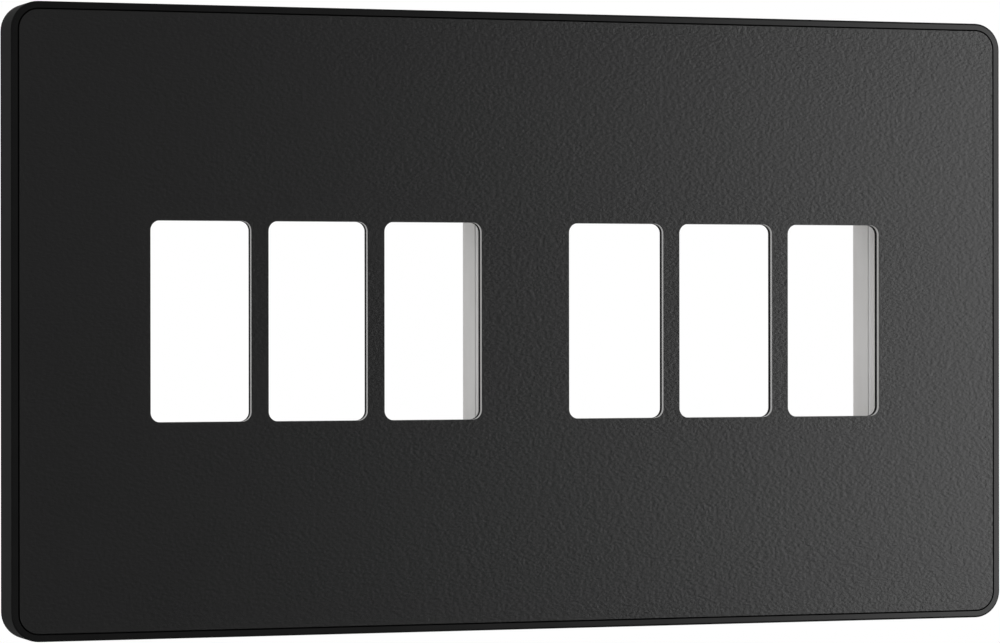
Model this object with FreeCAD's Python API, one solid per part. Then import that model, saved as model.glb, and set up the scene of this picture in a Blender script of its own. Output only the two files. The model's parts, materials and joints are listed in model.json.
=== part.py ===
"""Screwless double grid switch plate, two groups of three module apertures.

A coated sheet face lies in a black moulded bezel. The bezel snaps onto a clip frame, which is screwed
through a steel yoke into two module cradles behind it. Millimetres. X runs along the plate, Z up, and the
front faces -Y. The origin is midway between the two fixing slots, on the wall plane.
"""
import FreeCAD, Part
import os

V = FreeCAD.Vector

# Modules, the apertures over them and the windows that hold them
module_pitch = 16.6
modules_per_group = 3
mullion_width = 2.45
aperture_height = 27.35
aperture_radius = 1.32
window_margin = 2.825
window_radius = 1.0
window_wall = 1.0
bridge_width = 10.5

# Front plate
plate_overhang = 5.5
plate_depth = 6.5
plate_corner_radius = 3.8
side_wall = 1.6
rim_width = 0.92
rim_edge_radius = 0.25
groove_width = 0.2
groove_depth = 1.2
sheet_thickness = 0.6
web_thickness = 1.5
lip_thickness = 0.8

# Steel yoke and its fixing slots
yoke_thickness = 0.8
yoke_inset = 0.1
fixing_slot_width = 4.0
fixing_slot_length = 5.4
fixing_margin = 3.3
fixing_head_diameter = 7.0
fixing_head_gap = 0.2

# Clip frame
clip_corner_radius = 4.0
clip_wall = 1.2
clip_base_thickness = 1.5
clip_front_gap = 0.15
nest_gap = 0.2
wall_gap = 0.1
clip_rib_height = 0.8
clip_rib_thickness = 0.8
side_rib_spacing = 6.0

# Snap hooks of the bezel and their catches
hook_width = 7.0
hook_thickness = 1.2
hook_gap = 0.15
hook_barb = 0.75
hook_catch_land = 0.5
hook_lead = 0.3
hook_tip_gap = 0.1
catch_ledge = 0.95
catch_gap = 0.1
catch_side_gap = 0.4
hook_end_margin = 16.0
long_hook_count = 4
short_hook_count = 2

# Stiffening of the bezel
gusset_thickness = 1.0
gusset_foot = 1.8
gusset_back_gap = 0.8
gusset_offset = 11.0
web_rib_thickness = 1.0
web_rib_count = 6
web_rib_row_gap = 0.5
web_rib_end_gap = 2.3
rib_gap = 0.1
lever_slot_width = 8.0
lever_slot_depth = 1.2

# Module cradles
cradle_depth = 5.2
cradle_flange_thickness = 1.4
cradle_flange_edge = 1.0
cradle_flange_radius = 3.0
boss_diameter = 5.4
boss_gap = 1.1
boss_gusset_thickness = 0.9
snap_notch_width = 6.0
snap_notch_gap = 0.5
snap_notch_length = 1.8
divider_width = 0.8
divider_height = 0.8
seat_lip = 0.8

# Cradle screws
screw_diameter = 2.4
screw_fit = 0.03
screw_hole_diameter = 2.9
screw_tip_gap = 0.2
screw_head_diameter = 4.5
screw_head_gap = 0.5
screw_head_edge = 0.4
screw_rib_gap = 0.25
cross_width = 0.6
cross_length = 2.8
cross_floor = 0.6

# Earth terminal
earth_gap = 1.5
earth_edge = 2.8
earth_block_width = 8.0
earth_block_height = 7.0
earth_block_depth = 8.5
earth_block_chamfer = 0.5
earth_bore_diameter = 3.6
earth_bore_depth = 5.3
earth_screw_diameter = 3.4
earth_screw_chamfer = 0.5
earth_screw_stop = 0.2
earth_head_diameter = 5.4
earth_head_height = 1.5
earth_head_gap = 0.9
earth_slot_width = 0.9
earth_slot_depth = 0.8
earth_hole_gap = 0.4
earth_window_gap = 1.0
earth_window_radius = 1.0
spigot_diameter = 1.8
spigot_fit = 0.03
spigot_inset = 1.25
spigot_head_diameter = 2.4
spigot_head_height = 0.3

# How far joined shapes run into each other, cuts run past a face, and flat edges may stray
fuse_overlap = 0.3
cut_overrun = 1.0
plane_tolerance = 1e-6

# Along X, from the modules outward. The sum is the usual 146.0, over fixings 120.6 apart.
aperture_width = module_pitch - mullion_width
window_width = modules_per_group * module_pitch
collar_width = window_width + 2 * window_wall
group_spacing = window_width + bridge_width
group_centres = (-group_spacing / 2, group_spacing / 2)
fixing_spacing = 2 * group_spacing
clip_inner_width = fixing_spacing + fixing_slot_length + 2 * fixing_margin
clip_width = clip_inner_width + 2 * clip_wall
plate_width = clip_width + 2 * plate_overhang
screw_x = (window_width - clip_rib_thickness - screw_head_diameter) / 2 - screw_rib_gap

# Along Z, in the same way, up to the usual 86.0
window_height = aperture_height + 2 * window_margin
collar_height = window_height + 2 * window_wall
screw_z = collar_height / 2 + boss_gap + boss_diameter / 2
cradle_flange_height = 2 * screw_z + boss_diameter + 2 * cradle_flange_edge
earth_z = -(cradle_flange_height + earth_block_height) / 2 - earth_gap
clip_inner_height = cradle_flange_height + 2 * (earth_gap + earth_block_height + earth_edge)
clip_height = clip_inner_height + 2 * clip_wall
plate_height = clip_height + 2 * plate_overhang

# Planes across the depth
front_y = -plate_depth
sheet_back = front_y + sheet_thickness
lip_back = sheet_back + lip_thickness
web_back = sheet_back + web_thickness
yoke_front = -yoke_thickness
clip_base_front = yoke_front - clip_base_thickness
clip_front = web_back + clip_front_gap
clip_rib_front = clip_base_front - clip_rib_height
web_rib_back = clip_rib_front - rib_gap
hook_tip = yoke_front - hook_tip_gap

# Outlines that follow one another inward
recess_width = plate_width - 2 * rim_width
recess_height = plate_height - 2 * rim_width
recess_radius = plate_corner_radius - rim_width
sheet_width = recess_width - 2 * groove_width
sheet_height = recess_height - 2 * groove_width
sheet_radius = recess_radius - groove_width
cavity_width = plate_width - 2 * side_wall
cavity_height = plate_height - 2 * side_wall
cavity_radius = plate_corner_radius - side_wall
collar_radius = window_radius + window_wall
clip_inner_radius = clip_corner_radius - clip_wall

# Hooks, on the long and the short edges
long_hook_spacing = (clip_width - 2 * hook_end_margin) / (long_hook_count - 1)
short_hook_spacing = (clip_height - 2 * hook_end_margin) / (short_hook_count - 1)


def turn_quarter(px, pz, quarters):
    """A point of the XZ plane turned clockwise by quarter turns."""
    for _ in range(quarters):
        px, pz = pz, -px
    return px, pz


def prism(width, height, radius, y_from, y_to, x=0.0, z=0.0):
    """Rectangle with round corners in the XZ plane, carried from one depth to another."""
    arc_inset = radius * (1 - 0.5 ** 0.5)
    edges = []
    for side in range(4):
        w, h = (width / 2, height / 2) if side % 2 == 0 else (height / 2, width / 2)
        corner = [(w - radius, h), (w - arc_inset, h - arc_inset), (w, h - radius), (w, radius - h)]
        turned = [turn_quarter(px, pz, side) for px, pz in corner]
        start, middle, end, following = [V(x + px, y_from, z + pz) for px, pz in turned]
        edges.append(Part.Arc(start, middle, end).toShape())
        edges.append(Part.makeLine(end, following))
    return Part.Face(Part.Wire(edges)).extrude(V(0, y_to - y_from, 0))


def block(x_from, x_to, y_from, y_to, z_from, z_to):
    return Part.makeBox(x_to - x_from, y_to - y_from, z_to - z_from, V(x_from, y_from, z_from))


def rod(diameter, y_from, y_to, x, z):
    return Part.makeCylinder(diameter / 2, y_to - y_from, V(x, y_from, z), V(0, 1, 0))


def slot_prism(length, width, y_from, y_to, x):
    """Slot with round ends along X, at mid height."""
    r = width / 2
    reach = length / 2 - r
    ends = [rod(width, y_from, y_to, x + side * reach, 0) for side in (-1, 1)]
    return block(x - reach, x + reach, y_from, y_to, -r, r).fuse(ends).removeSplitter()


def edge_profile(points, width):
    """Outline of (distance from the centre, depth) points, carried along X and centred on it."""
    corners = [V(-width / 2, y, z) for z, y in points]
    return Part.Face(Part.makePolygon(corners + corners[:1])).extrude(V(width, 0, 0))


def on_edge(shape, along, quarters):
    """Moves a shape made for the top edge along it, then turns it onto another edge."""
    placed = shape.copy()
    placed.translate(V(along, 0, 0))
    placed.rotate(V(0, 0, 0), V(0, 1, 0), 90 * quarters)
    return placed


def edges_at(shape, y):
    """Edges that lie in one plane across the depth."""
    return [e for e in shape.Edges if all(abs(v.Y - y) < plane_tolerance for v in e.Vertexes)]


def spread(count, spacing):
    """Evenly spaced places on both sides of zero."""
    return [(i - (count - 1) / 2) * spacing for i in range(count)]


def aperture_centres():
    return [gx + dx for gx in group_centres for dx in spread(modules_per_group, module_pitch)]


def apertures(y_from, y_to):
    """The six openings for rockers, straight through."""
    size = (aperture_width, aperture_height, aperture_radius)
    return [prism(*size, y_from, y_to, x) for x in aperture_centres()]


def windows(y_from, y_to, extra=0.0):
    """The two module windows, one for each group."""
    size = (window_width + 2 * extra, window_height + 2 * extra, window_radius + extra)
    return [prism(*size, y_from, y_to, x) for x in group_centres]


def screw_places():
    """The four screws round each window, group by group."""
    corners = [(dx, dz) for dz in (-screw_z, screw_z) for dx in (-screw_x, screw_x)]
    return [[(gx + dx, dz) for dx, dz in corners] for gx in group_centres]


def spigot_places():
    """The four spigots, set in from the corners of the earth block."""
    reach_x = earth_block_width / 2 - spigot_inset
    reach_z = earth_block_height / 2 - spigot_inset
    return [(dx, earth_z + dz) for dx in (-reach_x, reach_x) for dz in (-reach_z, reach_z)]


# Edges of the plate: quarter turns, half size of bezel cavity and clip frame, and the places of the hooks
LONG_HOOKS = spread(long_hook_count, long_hook_spacing)
SHORT_HOOKS = spread(short_hook_count, short_hook_spacing)
EDGES = [
    (0, cavity_height / 2, clip_height / 2, LONG_HOOKS),
    (1, cavity_width / 2, clip_width / 2, SHORT_HOOKS),
    (2, cavity_height / 2, clip_height / 2, LONG_HOOKS),
    (3, cavity_width / 2, clip_width / 2, SHORT_HOOKS),
]


def face_plate():
    """Flat sheet with the six apertures, flush with the rim."""
    sheet = prism(sheet_width, sheet_height, sheet_radius, front_y, sheet_back)
    return sheet.cut(apertures(front_y - cut_overrun, sheet_back + cut_overrun))


def groove():
    """Gap between rim and sheet, carried on into the moulding as a channel for spare glue."""
    y_from = front_y - cut_overrun
    y_to = front_y + groove_depth
    outer = prism(recess_width, recess_height, recess_radius, y_from, y_to)
    return outer.cut(prism(sheet_width, sheet_height, sheet_radius, y_from, y_to))


def bezel_web():
    """Web with the apertures, flared behind a thin lip so that the rockers clear it."""
    flare = web_thickness - lip_thickness
    cuts = apertures(sheet_back - cut_overrun, web_back + cut_overrun)
    for x in aperture_centres():
        size = (aperture_width + 2 * flare, aperture_height + 2 * flare, aperture_radius + flare)
        flared = prism(*size, lip_back, web_back + cut_overrun, x)
        cuts.append(flared.makeChamfer(flare, edges_at(flared, lip_back)))
    size = (cavity_width + fuse_overlap, cavity_height + fuse_overlap, cavity_radius)
    return prism(*size, sheet_back, web_back).cut(cuts)


def hook(clip_half):
    """Snap arm with a barb on its inner side and a sloping lead-in."""
    inner = clip_half + hook_gap
    outer = inner + hook_thickness
    root = web_back - fuse_overlap
    catch_y = clip_front + catch_ledge + catch_gap
    points = [
        (inner, root),
        (inner, catch_y),
        (inner - hook_barb, catch_y),
        (inner - hook_barb, catch_y + hook_catch_land),
        (inner + hook_lead, hook_tip),
        (outer, hook_tip),
        (outer, root),
    ]
    return edge_profile(points, hook_width)


def gusset(cavity_half):
    """Triangular stiffener between the web and the side wall."""
    wall = cavity_half + fuse_overlap
    root = web_back - fuse_overlap
    points = [
        (wall, root),
        (cavity_half - gusset_foot, root),
        (cavity_half - gusset_foot, web_back),
        (cavity_half, -gusset_back_gap),
        (wall, -gusset_back_gap),
    ]
    return edge_profile(points, gusset_thickness)


def gusset_places(hooks):
    """Gussets stand at each side of every hook."""
    return [x + side * gusset_offset for x in hooks for side in (-1, 1)]


def web_ribs():
    """Waffle of low ribs above and below the apertures, clear of the screw heads."""
    y_from = web_back - fuse_overlap
    half = web_rib_thickness / 2
    low = cradle_flange_height / 2 + web_rib_row_gap
    high = clip_inner_height / 2 - web_rib_end_gap
    reach = clip_inner_width / 2 - web_rib_end_gap
    ribs = []
    for z in (-high, -low, low, high):
        ribs.append(block(-reach, reach, y_from, web_rib_back, z - half, z + half))
    for x in spread(web_rib_count, 2 * reach / (web_rib_count + 1)):
        ribs.append(block(x - half, x + half, y_from, web_rib_back, low, high))
        ribs.append(block(x - half, x + half, y_from, web_rib_back, -high, -low))
    return ribs


def bezel():
    """Moulded rim, side wall, web, hooks and stiffeners in one piece."""
    shell = prism(plate_width, plate_height, plate_corner_radius, front_y, 0)
    shell = shell.makeFillet(rim_edge_radius, edges_at(shell, front_y))
    shell = shell.cut([
        prism(recess_width, recess_height, recess_radius, front_y - cut_overrun, sheet_back),
        prism(cavity_width, cavity_height, cavity_radius, sheet_back, cut_overrun),
        groove(),
    ])
    added = [bezel_web()] + web_ribs()
    for quarters, cavity_half, clip_half, hooks in EDGES:
        added += [on_edge(hook(clip_half), x, quarters) for x in hooks]
        added += [on_edge(gusset(cavity_half), x, quarters) for x in gusset_places(hooks)]
    return shell.fuse(added).cut(lever_slots()).removeSplitter()


def lever_slots():
    """Two slots in the bottom edge, midway between hooks, where a blade levers the front off."""
    half = lever_slot_width / 2
    front = -lever_slot_depth
    low = -plate_height / 2 - cut_overrun
    high = -cavity_height / 2 + fuse_overlap
    places = spread(2, 2 * long_hook_spacing)
    return [block(x - half, x + half, front, cut_overrun, low, high) for x in places]


def yoke():
    """Steel sheet with the windows, the fixing slots and the holes of screws and spigots."""
    y_from = yoke_front - cut_overrun
    y_to = cut_overrun
    width = clip_inner_width - 2 * nest_gap
    height = clip_inner_height - 2 * nest_gap
    sheet = prism(width, height, clip_inner_radius, yoke_front, 0)
    cuts = windows(y_from, y_to, yoke_inset)
    for x in spread(2, fixing_spacing):
        cuts.append(slot_prism(fixing_slot_length, fixing_slot_width, y_from, y_to, x))
    for places in screw_places():
        cuts += [rod(screw_hole_diameter, y_from, y_to, x, z) for x, z in places]
    cuts.append(rod(earth_screw_diameter + 2 * earth_hole_gap, y_from, y_to, 0, earth_z))
    cuts += [rod(spigot_diameter + 2 * spigot_fit, y_from, y_to, x, z) for x, z in spigot_places()]
    return sheet.cut(cuts)


def fixing_pockets():
    """Room for the heads of the fixing screws, open towards the windows."""
    y_from = clip_base_front - cut_overrun
    head = fixing_head_diameter + 2 * fixing_head_gap
    travel = fixing_slot_length - fixing_slot_width
    pockets = []
    for side in (-1, 1):
        x = side * fixing_spacing / 2
        low, high = sorted((side * (group_spacing + collar_width) / 2, x))
        pockets.append(block(low, high, y_from, 0, -head / 2, head / 2))
        pockets.append(slot_prism(head + travel, head, y_from, 0, x))
    return pockets


def clip_ribs():
    """Ribs from the window walls to the outer wall, low enough to clear the bezel's ribs."""
    y_to = clip_base_front + fuse_overlap
    half = clip_rib_thickness / 2
    ribs = []
    inner = collar_height / 2 - fuse_overlap
    outer = clip_inner_height / 2 + fuse_overlap
    for gx in group_centres:
        for dx in spread(modules_per_group + 1, module_pitch):
            x = gx + dx
            ribs.append(block(x - half, x + half, clip_rib_front, y_to, inner, outer))
            ribs.append(block(x - half, x + half, clip_rib_front, y_to, -outer, -inner))
    inner = (group_spacing + collar_width) / 2 - fuse_overlap
    outer = clip_inner_width / 2 + fuse_overlap
    for step in (-2, -1, 1, 2):
        z = step * side_rib_spacing
        ribs.append(block(inner, outer, clip_rib_front, y_to, z - half, z + half))
        ribs.append(block(-outer, -inner, clip_rib_front, y_to, z - half, z + half))
    return ribs


def catch_openings():
    """Openings in the clip frame's wall for the barbs of the hooks."""
    half = hook_width / 2 + catch_side_gap
    openings = []
    for quarters, _, clip_half, hooks in EDGES:
        top = clip_half + cut_overrun
        opening = block(-half, half, clip_front + catch_ledge, hook_tip, clip_half - clip_wall, top)
        openings += [on_edge(opening, x, quarters) for x in hooks]
    return openings


def clip_frame():
    """Base, outer wall with catches, window walls and ribs in one piece."""
    base = prism(clip_width, clip_height, clip_corner_radius, clip_base_front, yoke_front)
    wall = prism(clip_width, clip_height, clip_corner_radius, clip_front, -wall_gap)
    inner_size = (clip_inner_width, clip_inner_height, clip_inner_radius)
    inside = prism(*inner_size, clip_front - cut_overrun, cut_overrun)
    parts = [wall.cut(inside)] + clip_ribs()
    for x in group_centres:
        back = clip_base_front + fuse_overlap
        parts.append(prism(collar_width, collar_height, collar_radius, clip_front, back, x))
    cuts = windows(clip_front - cut_overrun, 0) + fixing_pockets() + catch_openings()
    for places in screw_places():
        cuts += [rod(screw_hole_diameter, clip_front, 0, x, z) for x, z in places]
    width = earth_block_width + 2 * earth_window_gap
    height = earth_block_height + 2 * earth_window_gap
    cuts.append(prism(width, height, earth_window_radius, clip_front, 0, 0, earth_z))
    return base.fuse(parts).cut(cuts).removeSplitter()


def cradle(places, x_centre):
    """Open frame for three modules, with seating lips, dividers, snap notches and screw bosses."""
    frame = prism(collar_width, collar_height, collar_radius, 0, cradle_depth, x_centre)
    flange_size = (collar_width, cradle_flange_height, cradle_flange_radius)
    added = [prism(*flange_size, 0, cradle_flange_thickness, x_centre)]
    half = boss_gusset_thickness / 2
    for x, z in places:
        side = 1 if z > 0 else -1
        low, high = sorted((z, side * (collar_height / 2 - fuse_overlap)))
        added.append(rod(boss_diameter, 0, cradle_depth, x, z))
        added.append(block(x - half, x + half, 0, cradle_depth, low, high))
    y_from = -cut_overrun
    y_to = cradle_depth + cut_overrun
    cuts = [prism(window_width, window_height, window_radius, y_from, y_to, x_centre)]
    cuts += [rod(screw_diameter + 2 * screw_fit, y_from, y_to, x, z) for x, z in places]
    cuts += snap_notches(x_centre)
    return frame.fuse(added).cut(cuts).fuse(seats(x_centre)).removeSplitter()


def snap_notches(x_centre):
    """Slots through the cradle's long walls that the modules snap into."""
    front = cradle_flange_thickness + snap_notch_gap
    back = front + snap_notch_length
    half = snap_notch_width / 2
    z = collar_height / 2
    places = [x_centre + dx for dx in spread(modules_per_group, module_pitch)]
    return [block(x - half, x + half, front, back, -z, z) for x in places]


def seats(x_centre):
    """Lips that the modules rest on, and dividers that keep them at their pitch."""
    wall_z = window_height / 2
    lip_half = window_width / 2 - window_radius
    half = divider_width / 2
    inside = []
    for side in (-1, 1):
        low, high = sorted((side * (wall_z - seat_lip), side * (wall_z + fuse_overlap)))
        front = cradle_depth - seat_lip
        inside.append(block(x_centre - lip_half, x_centre + lip_half, front, cradle_depth, low, high))
        low, high = sorted((side * (wall_z - divider_height), side * (wall_z + fuse_overlap)))
        for dx in spread(modules_per_group - 1, module_pitch):
            x = x_centre + dx
            inside.append(block(x - half, x + half, 0, cradle_depth, low, high))
    return inside


def cradle_screw(x, z):
    """Flat round head with a cross recess, seated on the clip frame's base."""
    head_front = web_back + screw_head_gap
    head = rod(screw_head_diameter, head_front, clip_base_front, x, z)
    head = head.makeChamfer(screw_head_edge, edges_at(head, head_front))
    shank = rod(screw_diameter, clip_base_front - fuse_overlap, cradle_depth - screw_tip_gap, x, z)
    half = cross_width / 2
    reach = cross_length / 2
    y_from = head_front - cut_overrun
    y_to = clip_base_front - cross_floor
    recess = [
        block(x - reach, x + reach, y_from, y_to, z - half, z + half),
        block(x - half, x + half, y_from, y_to, z - reach, z + reach),
    ]
    return head.fuse(shank).cut(recess).removeSplitter()


def earth_terminal():
    """Brass block with a wire bore, held to the yoke by four swaged spigots."""
    half_w = earth_block_width / 2
    bottom = earth_z - earth_block_height / 2
    top = earth_z + earth_block_height / 2
    body = block(-half_w, half_w, 0, earth_block_depth, bottom, top)
    body = body.makeChamfer(earth_block_chamfer, edges_at(body, earth_block_depth))
    spigots = []
    for x, z in spigot_places():
        spigots.append(rod(spigot_diameter, yoke_front, fuse_overlap, x, z))
        spigots.append(rod(spigot_head_diameter, yoke_front - spigot_head_height, yoke_front, x, z))
    start = V(0, earth_bore_depth, bottom - cut_overrun)
    length = earth_block_height + 2 * cut_overrun
    wire_bore = Part.makeCylinder(earth_bore_diameter / 2, length, start, V(0, 0, 1))
    screw_bore = rod(earth_screw_diameter + 2 * screw_fit, -cut_overrun, earth_bore_depth, 0, earth_z)
    return body.fuse(spigots).cut([wire_bore, screw_bore]).removeSplitter()


def earth_screw():
    """Cheese head screw with a straight slot, reached from the front through the yoke."""
    head_front = web_back + earth_head_gap
    head_back = head_front + earth_head_height
    tip = earth_bore_depth - earth_bore_diameter / 2 - earth_screw_stop
    head = rod(earth_head_diameter, head_front, head_back, 0, earth_z)
    shank = rod(earth_screw_diameter, head_back - fuse_overlap, tip, 0, earth_z)
    shank = shank.makeChamfer(earth_screw_chamfer, edges_at(shank, tip))
    half = earth_slot_width / 2
    reach = earth_head_diameter / 2 + cut_overrun
    y_from = head_front - cut_overrun
    slot = block(-reach, reach, y_from, head_front + earth_slot_depth, earth_z - half, earth_z + half)
    return head.fuse(shank).cut(slot).removeSplitter()


def save(name, shape):
    shape.exportStep(f"parts/{name}.step")


os.makedirs("parts", exist_ok=True)
save("face_plate", face_plate())
save("bezel", bezel())
save("clip_frame", clip_frame())
save("yoke", yoke())
for side, places, x_centre in zip(("left", "right"), screw_places(), group_centres):
    save(f"cradle_{side}", cradle(places, x_centre))
    for number, (x, z) in enumerate(places, start=1):
        save(f"cradle_screw_{side}_{number}", cradle_screw(x, z))
save("earth_terminal", earth_terminal())
save("earth_screw", earth_screw())
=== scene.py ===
import json
import math

import bpy
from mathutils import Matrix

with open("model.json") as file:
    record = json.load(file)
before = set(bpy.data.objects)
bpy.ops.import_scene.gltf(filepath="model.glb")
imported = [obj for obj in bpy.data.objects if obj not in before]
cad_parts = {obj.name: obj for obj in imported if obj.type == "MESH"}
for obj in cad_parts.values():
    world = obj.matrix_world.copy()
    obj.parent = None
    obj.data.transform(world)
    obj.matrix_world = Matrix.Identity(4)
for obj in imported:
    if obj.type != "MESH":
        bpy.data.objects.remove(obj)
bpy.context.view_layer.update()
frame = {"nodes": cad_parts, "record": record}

MM = 0.001


def grey(level, warm=0.0):
    return (level * (1 + warm), level, level * (1 - warm), 1.0)


# Node trees

NOISE_MIDDLE = (0.35, 0.65)
WHITE = grey(1.0)
BLACK = grey(0.0)


class Nodes:
    """A node tree under construction."""

    def __init__(self, tree):
        self.tree = tree

    def add(self, kind, **settings):
        node = self.tree.nodes.new(kind)
        for key, value in settings.items():
            setattr(node, key, value)
        return node

    def feed(self, socket, value):
        """Links an output to the socket, or sets a plain value on it."""
        if isinstance(value, bpy.types.NodeSocket):
            self.tree.links.new(value, socket)
        else:
            socket.default_value = value

    def parts(self, vector):
        """The vector's X, Y and Z, by name."""
        node = self.add("ShaderNodeSeparateXYZ")
        self.feed(node.inputs["Vector"], vector)
        return node.outputs

    def length(self, vector):
        node = self.add("ShaderNodeVectorMath", operation="LENGTH")
        self.feed(node.inputs["Vector"], vector)
        return node.outputs["Value"]

    def math(self, operation, a, b=0.0):
        node = self.add("ShaderNodeMath", operation=operation)
        self.feed(node.inputs[0], a)
        self.feed(node.inputs[1], b)
        return node.outputs["Value"]

    def spread(self, value, low, high, span=NOISE_MIDDLE, **settings):
        """Carries the span, which is a noise's middle range unless given, onto low to high."""
        node = self.add("ShaderNodeMapRange", **settings)
        self.feed(node.inputs["Value"], value)
        self.feed(node.inputs["From Min"], span[0])
        self.feed(node.inputs["From Max"], span[1])
        self.feed(node.inputs["To Min"], low)
        self.feed(node.inputs["To Max"], high)
        return node.outputs["Result"]

    def mix(self, factor, a, b, **settings):
        node = self.add("ShaderNodeMix", **settings)
        self.feed(node.inputs["Factor"], factor)
        self.feed(node.inputs["A"], a)
        self.feed(node.inputs["B"], b)
        return node.outputs["Result"]

    def blend(self, factor, a, b):
        """One colour or the other, by factor."""
        return self.mix(factor, a, b, data_type="RGBA")

    def choose(self, factor, a, b):
        """One number or the other, by factor."""
        return self.mix(factor, a, b, data_type="FLOAT")

    def sees_white(self):
        """1 for rays from the camera, off glossy surfaces and through glass.

        All three see the plain white background.
        """
        rays = self.add("ShaderNodeLightPath").outputs
        seen = self.math("MAXIMUM", rays["Is Camera Ray"], rays["Is Glossy Ray"])
        return self.math("MAXIMUM", seen, rays["Is Transmission Ray"])


class Look(Nodes):
    """A node material under construction."""

    def __init__(self, name):
        self.material = bpy.data.materials.new(name)
        self.material.use_nodes = True
        super().__init__(self.material.node_tree)
        self.shader = self.tree.nodes["Principled BSDF"]
        self.position = self.add("ShaderNodeTexCoord").outputs["Object"]

    def set(self, name, value):
        self.feed(self.shader.inputs[name], value)

    def stretched(self, scale):
        """Object position, scaled by its own amount along each axis."""
        node = self.add("ShaderNodeMapping")
        self.feed(node.inputs["Vector"], self.position)
        self.feed(node.inputs["Scale"], scale)
        return node.outputs["Vector"]

    def noise(self, grain, detail=2.0, rough=0.5, vector=None):
        """Soft noise whose lumps are about grain metres across."""
        node = self.add("ShaderNodeTexNoise")
        self.feed(node.inputs["Vector"], vector or self.position)
        self.feed(node.inputs["Scale"], 1 / grain)
        self.feed(node.inputs["Detail"], detail)
        self.feed(node.inputs["Roughness"], rough)
        return node.outputs["Fac"]

    def bump(self, height, depth, strength=1.0):
        """Surface relief of the given depth in metres."""
        node = self.add("ShaderNodeBump")
        self.feed(node.inputs["Height"], height)
        self.feed(node.inputs["Distance"], depth)
        self.feed(node.inputs["Strength"], strength)
        return node.outputs["Normal"]

    def edge_facing(self):
        """1 on faces that look along the plate, 0 on faces that look to the front or back."""
        normal = self.add("ShaderNodeNewGeometry").outputs["True Normal"]
        depth = self.math("ABSOLUTE", self.parts(normal)["Y"])
        return self.math("LESS_THAN", depth, 0.5)

    def within(self, half_x, half_z, radius):
        """1 inside an upright rectangle with round corners, in the middle of the plate."""
        place = self.parts(self.position)
        past = self.add("ShaderNodeCombineXYZ")
        for axis, half in (("X", half_x), ("Z", half_z)):
            reach = self.math("SUBTRACT", self.math("ABSOLUTE", place[axis]), half - radius)
            self.feed(past.inputs[axis], self.math("MAXIMUM", reach, 0.0))
        return self.math("LESS_THAN", self.length(past.outputs["Vector"]), radius)


# Looks. Each pair of tones or of roughness is the range that a noise runs over. Gloss is the
# Specular IOR Level. It is low on the black pieces, as they mirror a room that is all white.

# Half width, half height and corner radius of two areas of the plate
APERTURES = (55 * MM, 15 * MM, 1 * MM)
RECESS = (72.09 * MM, 42.09 * MM, 2.89 * MM)
GROOVE_WIDTH = 0.3 * MM


def coated_sheet():
    """Matt black powder coat with a fine grain, and bare metal where an aperture was cut."""
    coat_tones = (grey(0.0051), grey(0.0055))
    coat_rough = (0.155, 0.185)
    coat_gloss = 0.1
    metal_tones = (grey(0.38, 0.01), grey(0.48, 0.01))
    metal_rough = (0.3, 0.5)
    metal_share = 0.5
    grain_depth = 0.0195 * MM

    m = Look("coated_sheet")
    bare = m.math("MULTIPLY", m.edge_facing(), m.within(*APERTURES))
    grain = m.noise(0.29 * MM, detail=1.0, vector=m.stretched((0.58, 1, 1)))
    cloud = m.noise(9 * MM, detail=3.0)
    coat = m.blend(m.spread(cloud, 0, 1), *coat_tones)
    drawn = m.noise(0.05 * MM, rough=0.6, vector=m.stretched((1, 6, 1)))
    metal = m.blend(m.spread(drawn, 0, 1), *metal_tones)
    m.set("Base Color", m.blend(bare, coat, metal))
    m.set("Metallic", m.math("MULTIPLY", bare, metal_share))
    m.set("Roughness", m.choose(bare, m.spread(grain, *coat_rough), m.spread(drawn, *metal_rough)))
    m.set("Specular IOR Level", coat_gloss)
    m.set("Normal", m.bump(grain, grain_depth))
    return m.material


def black_moulding():
    """Black moulded plastic: glossy, but satin on edge-on walls and on the groove's floor."""
    tones = (grey(0.0008), grey(0.0016))
    glossy_rough = (0.06, 0.08)
    satin_rough = 0.8
    gloss = 0.08
    relief = 0.0002 * MM

    m = Look("black_moulding")
    recess = m.within(*RECESS)
    under_sheet = m.within(*(size - GROOVE_WIDTH for size in RECESS))
    groove = m.math("SUBTRACT", recess, under_sheet)
    walls = m.edge_facing()
    groove_floor = m.math("MULTIPLY", groove, m.math("SUBTRACT", 1.0, walls))
    satin = m.math("MAXIMUM", walls, groove_floor)
    cloud = m.noise(6 * MM, detail=4.0)
    fine = m.noise(0.12 * MM)
    m.set("Base Color", m.blend(m.spread(cloud, 0, 1), *tones))
    m.set("Roughness", m.choose(satin, m.spread(cloud, *glossy_rough), satin_rough))
    m.set("Specular IOR Level", gloss)
    m.set("Normal", m.bump(fine, relief))
    return m.material


def grey_moulding():
    """Light grey moulded plastic with a fine spark texture and faint flow clouds."""
    tones = (grey(0.66, 0.018), grey(0.71, 0.014))
    spark_tone = grey(0.55, 0.02)
    spark_share = 0.12
    rough = (0.42, 0.55)
    relief = 0.006 * MM
    relief_strength = 0.8

    m = Look("grey_moulding")
    flow = m.noise(11 * MM, detail=3.0, vector=m.stretched((1, 2.2, 1)))
    spark = m.noise(0.16 * MM, detail=3.0, rough=0.65)
    tone = m.blend(m.spread(flow, 0, 1), *tones)
    m.set("Base Color", m.blend(m.spread(spark, 0, spark_share), tone, spark_tone))
    m.set("Roughness", m.spread(spark, *rough))
    m.set("Normal", m.bump(spark, relief, relief_strength))
    return m.material


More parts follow.
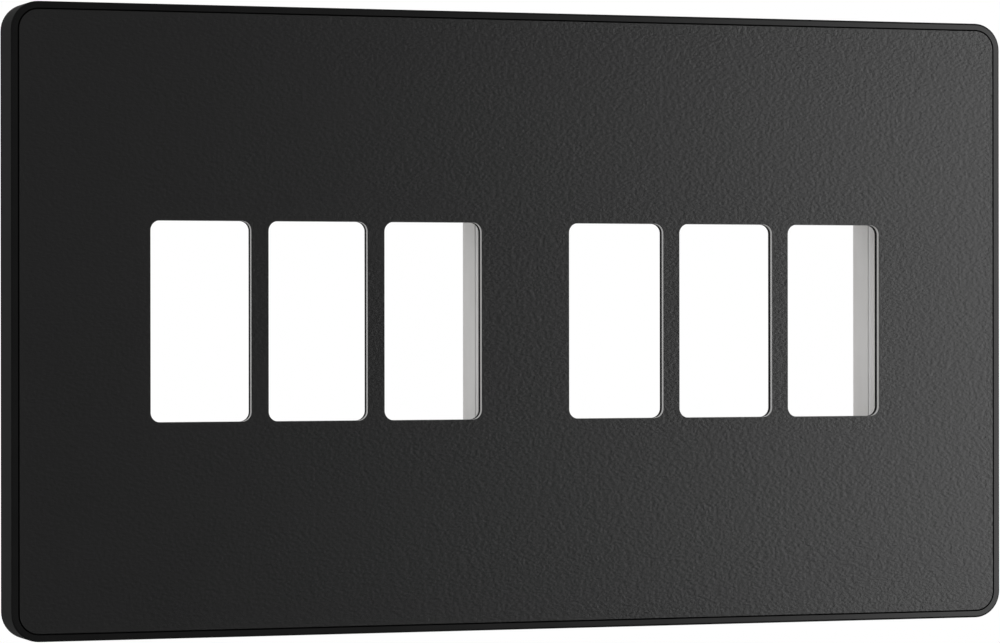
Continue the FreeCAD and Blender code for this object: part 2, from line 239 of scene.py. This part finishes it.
def zinc_steel():
    """Rolled sheet steel with a thin zinc plating, paler and less metallic where it was cut."""
    tones = ((0.48, 0.48, 0.46, 1), (0.54, 0.55, 0.57, 1))
    streak_tone = grey(0.43)
    streak_share = 0.2
    cut_tone = grey(0.66)
    metal_share = 0.95
    lost_on_cut = 0.65
    rough = (0.3, 0.46)
    relief = 0.0015 * MM

    m = Look("zinc_steel")
    cut = m.edge_facing()
    rolled = m.noise(0.3 * MM, detail=4.0, rough=0.6, vector=m.stretched((0.03, 1, 1)))
    cloud = m.noise(14 * MM, detail=3.0)
    tone = m.blend(m.spread(cloud, 0, 1), *tones)
    tone = m.blend(m.spread(rolled, 0, streak_share), tone, streak_tone)
    m.set("Base Color", m.blend(cut, tone, cut_tone))
    m.set("Metallic", m.math("SUBTRACT", metal_share, m.math("MULTIPLY", cut, lost_on_cut)))
    m.set("Roughness", m.spread(rolled, *rough))
    m.set("Normal", m.bump(rolled, relief))
    return m.material


def screw_steel():
    """Plated screws: bright, with darker specks in the plating."""
    tones = (grey(0.62, 0.01), (0.5, 0.5, 0.47, 1))
    metal_share = 0.95
    rough = (0.24, 0.38)
    relief = 0.004 * MM

    m = Look("screw_steel")
    specks = m.noise(0.3 * MM, detail=4.0, rough=0.6)
    m.set("Base Color", m.blend(m.spread(specks, 0, 1), *tones))
    m.set("Metallic", metal_share)
    m.set("Roughness", m.spread(specks, *rough))
    m.set("Normal", m.bump(specks, relief))
    return m.material


def brass(name, bright, dull, lines):
    """Machined brass, with cutter lines along one axis and dull patches."""
    rough = (0.24, 0.38)
    relief = 0.003 * MM

    m = Look(name)
    cut = m.noise(0.12 * MM, detail=3.0, rough=0.6, vector=m.stretched(lines))
    patches = m.noise(3 * MM, detail=3.0)
    m.set("Base Color", m.blend(m.spread(patches, 0, 1), bright, dull))
    m.set("Metallic", 1.0)
    m.set("Roughness", m.spread(patches, *rough))
    m.set("Normal", m.bump(cut, relief))
    return m.material


MATERIALS = {
    "coated_sheet": coated_sheet(),
    "black_moulding": black_moulding(),
    "grey_moulding": grey_moulding(),
    "zinc_steel": zinc_steel(),
    "screw_steel": screw_steel(),
    "brass": brass("brass", (0.8, 0.6, 0.27, 1), (0.62, 0.44, 0.2, 1), (1, 1, 0.08)),
    "brass_screw": brass(
        "brass_screw", (0.74, 0.56, 0.27, 1), (0.56, 0.4, 0.19, 1), (1, 0.1, 1)
    ),
}

# Small rounds on the edges of mouldings and metal, inside the CAD surfaces

ROUNDS = {
    "black_moulding": 0.03 * MM,
    "grey_moulding": 0.06 * MM,
    "zinc_steel": 0.03 * MM,
    "screw_steel": 0.06 * MM,
    "brass": 0.1 * MM,
}
ROUND_SEGMENTS = 2
ROUNDED_FROM = math.radians(50)


def round_edges(node, width):
    bevel = node.modifiers.new("edge_round", "BEVEL")
    bevel.width = width
    bevel.segments = ROUND_SEGMENTS
    bevel.limit_method = "ANGLE"
    bevel.angle_limit = ROUNDED_FROM
    bevel.use_clamp_overlap = True
    bevel.harden_normals = True


for part in frame["record"]["subparts"]:
    node, slot = frame["nodes"][part["node"]], part["material_slot"]
    node.data.materials.clear()
    node.data.materials.append(MATERIALS[slot])
    if slot in ROUNDS:
        round_edges(node, ROUNDS[slot])


# Studio. The soft light is a row of bearings with its level at each. Bearings are degrees
# from straight behind the plate, to the right, so 180 is straight in front.

SOFTBOX = (
    (-180, 0.0),
    (138, 0.0),
    (143, 16.8),
    (151, 15.7),
    (154.0, 9.8),
    (155.35, 6.2),
    (158.05, 3.1),
    (160.76, 1.06),
    (163.46, 0.35),
    (166.17, 0.09),
    (172, 0.0),
    (180, 0.0),
)
SOFTBOX_FADE = (0.12, 0.2)  # Z of the direction where its light begins and ends to fade
ROOM_LIGHT = 0.82
FLOOR_DROP = 0.32
FLOOR_SIDES = 96
FLOOR_FADE = (0.7, 1.5)  # radii where the floor begins and ends to run out into white
FLOOR_TONE = grey(0.8)
FLOOR_ROUGH = (0.7, 0.8)
FLOOR_GRAIN = 0.05
FLOOR_GLOW = 0.1


def white_studio():
    """White all round, plain for diffuse light, with a soft light in front and to the right."""
    world = bpy.data.worlds.new("white_studio")
    world.use_nodes = True
    world.node_tree.nodes.clear()
    w = Nodes(world.node_tree)
    direction = w.parts(w.add("ShaderNodeTexCoord").outputs["Generated"])
    bearing = w.math("ARCTAN2", direction["X"], direction["Y"])
    softbox = w.add("ShaderNodeValToRGB")
    stops = softbox.color_ramp.elements
    stops[0].color = grey(SOFTBOX[0][1])
    stops[1].color = grey(SOFTBOX[-1][1])
    for degrees, level in SOFTBOX[1:-1]:
        stops.new((degrees + 180) / 360).color = grey(level)
    w.feed(softbox.inputs["Fac"], w.spread(bearing, 0.0, 1.0, (-math.pi, math.pi)))
    rise = w.math("ABSOLUTE", direction["Z"])
    share = w.spread(rise, 1.0, 0.0, SOFTBOX_FADE, interpolation_type="SMOOTHSTEP")
    room = w.blend(w.sees_white(), grey(ROOM_LIGHT), WHITE)
    lit = w.mix(share, room, softbox.outputs["Color"], data_type="RGBA", blend_type="ADD")
    background = w.add("ShaderNodeBackground")
    w.feed(background.inputs["Color"], lit)
    output = w.add("ShaderNodeOutputWorld")
    w.feed(output.inputs["Surface"], background.outputs["Background"])
    bpy.context.scene.world = world


def pale_floor():
    """Round floor some way under the plate, which runs out into the white of the studio."""
    radius = FLOOR_FADE[1]
    turns = [2 * math.pi * i / FLOOR_SIDES for i in range(FLOOR_SIDES)]
    rim = [(radius * math.cos(a), radius * math.sin(a), 0) for a in turns]
    mesh = bpy.data.meshes.new("floor")
    mesh.from_pydata(rim, [], [tuple(range(FLOOR_SIDES))])
    floor = bpy.data.objects.new("floor", mesh)
    floor.location.z = -FLOOR_DROP
    bpy.context.scene.collection.objects.link(floor)
    m = Look("pale_floor")
    reach = m.length(m.position)
    fade = m.spread(reach, 0.0, 1.0, FLOOR_FADE, interpolation_type="SMOOTHSTEP")
    m.set("Base Color", m.blend(fade, FLOOR_TONE, BLACK))
    m.set("Roughness", m.spread(m.noise(FLOOR_GRAIN), *FLOOR_ROUGH))
    m.set("Specular IOR Level", 0.0)
    glow = m.spread(fade, FLOOR_GLOW, 1.0, (0.0, 1.0))
    m.set("Emission Color", WHITE)
    m.set("Emission Strength", m.math("MULTIPLY", glow, m.sees_white()))
    mesh.materials.append(m.material)


white_studio()
pale_floor()


# Camera, at the photograph's place: level with the plate's middle, and to the left of it

CAMERA_PLACE = (-197.43 * MM, -561.35 * MM, 0.0)
CAMERA_BEARING = math.radians(19.24)
CAMERA_ROLL = math.radians(0.06)
CAMERA_SHIFT = -0.00048
CAMERA_LENS = 152.06
CAMERA_SENSOR = 36.0
CAMERA_NEAR = 0.05

camera_data = bpy.data.cameras.new("camera")
camera_data.lens = CAMERA_LENS
camera_data.sensor_width = CAMERA_SENSOR
camera_data.clip_start = CAMERA_NEAR
camera_data.shift_y = CAMERA_SHIFT
camera = bpy.data.objects.new("camera", camera_data)
camera.location = CAMERA_PLACE
camera.rotation_euler = (math.pi / 2, CAMERA_ROLL, -CAMERA_BEARING)
bpy.context.scene.collection.objects.link(camera)
bpy.context.scene.camera = camera
bpy.context.scene.view_settings.view_transform = "Standard"
